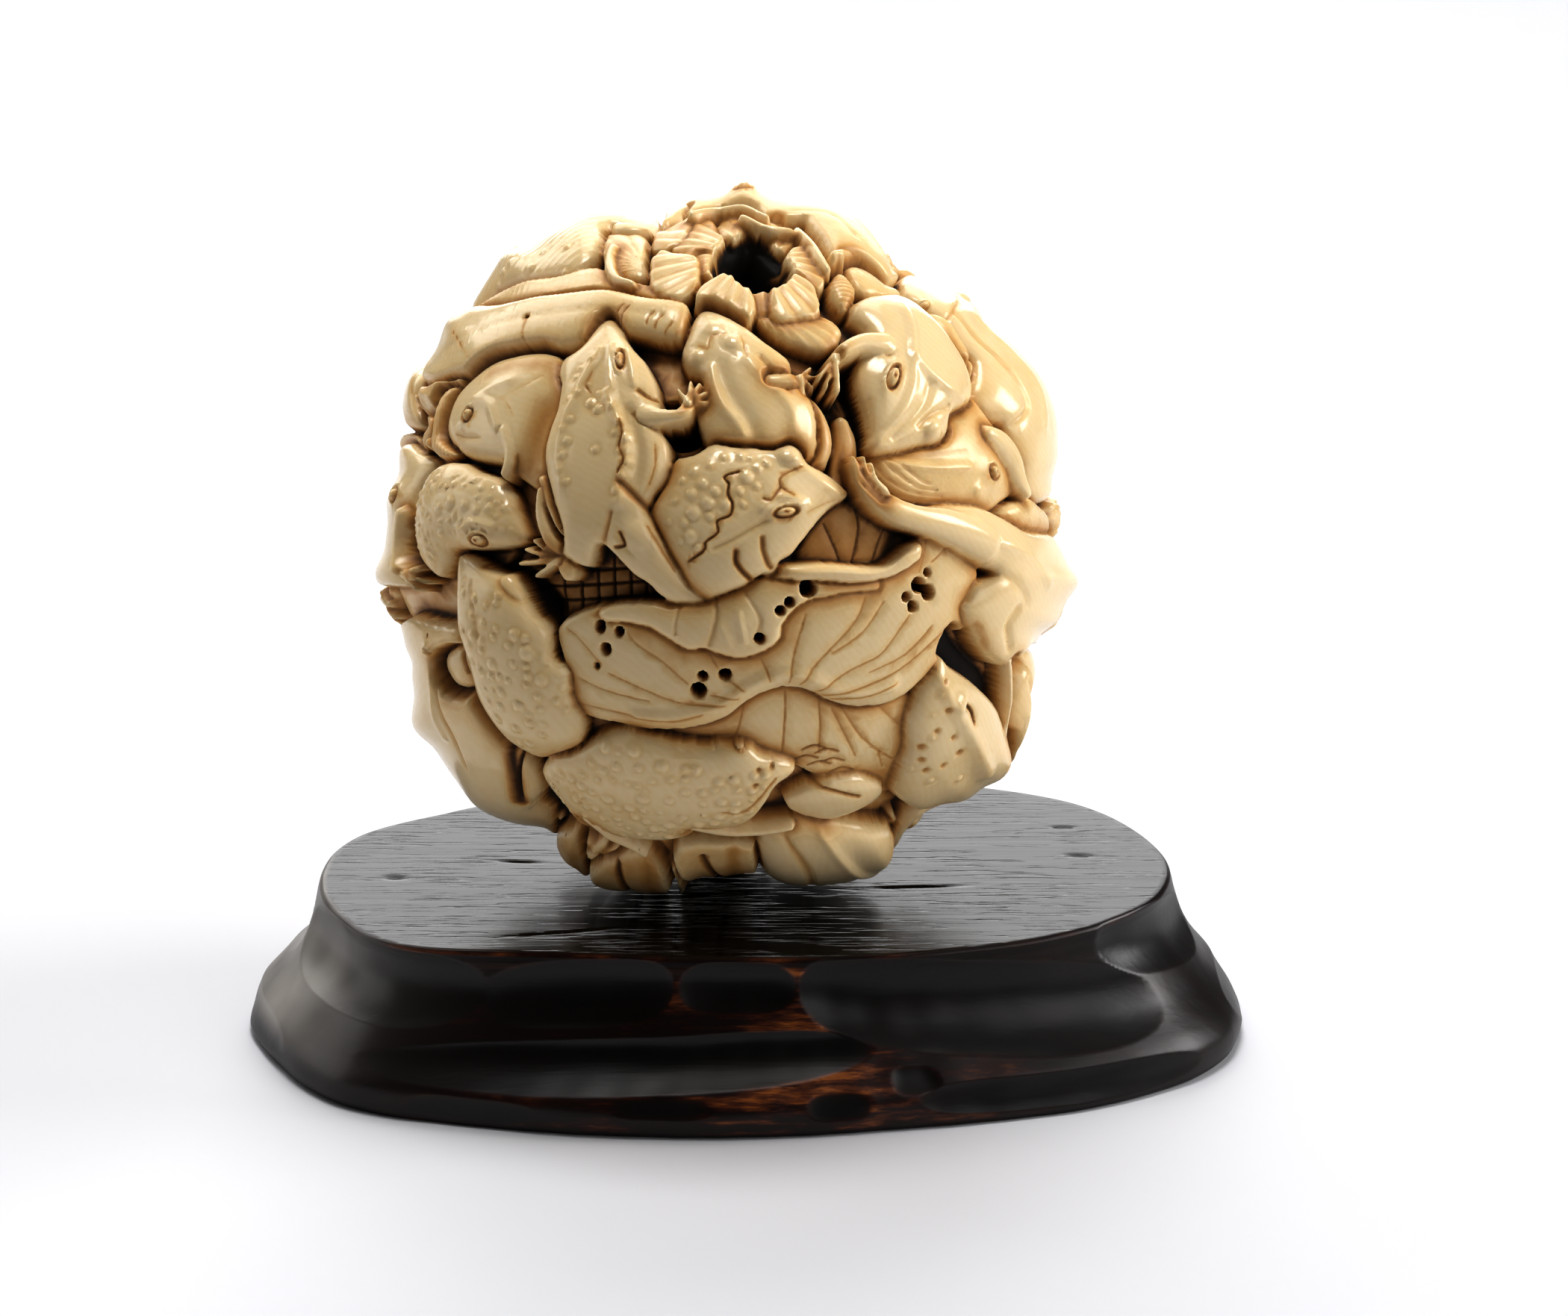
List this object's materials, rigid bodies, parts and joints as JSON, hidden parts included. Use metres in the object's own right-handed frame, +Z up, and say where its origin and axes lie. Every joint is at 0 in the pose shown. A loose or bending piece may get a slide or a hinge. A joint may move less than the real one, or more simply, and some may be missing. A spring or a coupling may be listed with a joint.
{
  "type": "carved ivory ball of frogs and lotus on a wooden stand",
  "caption": "Round ivory carving of frogs, toads, a worm-holed lotus leaf and a lotus flower, resting on a low gouged dark wood stand.",
  "frame": {"origin": "on the underside of the stand, under the middle of the whole piece's box", "axes": "+Z up, the front of the carving faces -Y, the stand is longest along X"},
  "size_m": [0.0878, 0.0576, 0.0738],
  "materials": {
    "ivory": "polished ivory, cream with brown stain rubbed into the cuts",
    "stained_wood": "black-brown stained and varnished wood, worn brown along its ridges"
  },
  "bodies": {
    "root": {"frog_ball": "ivory", "wooden_stand": "stained_wood"}
  },
  "joints": []
}
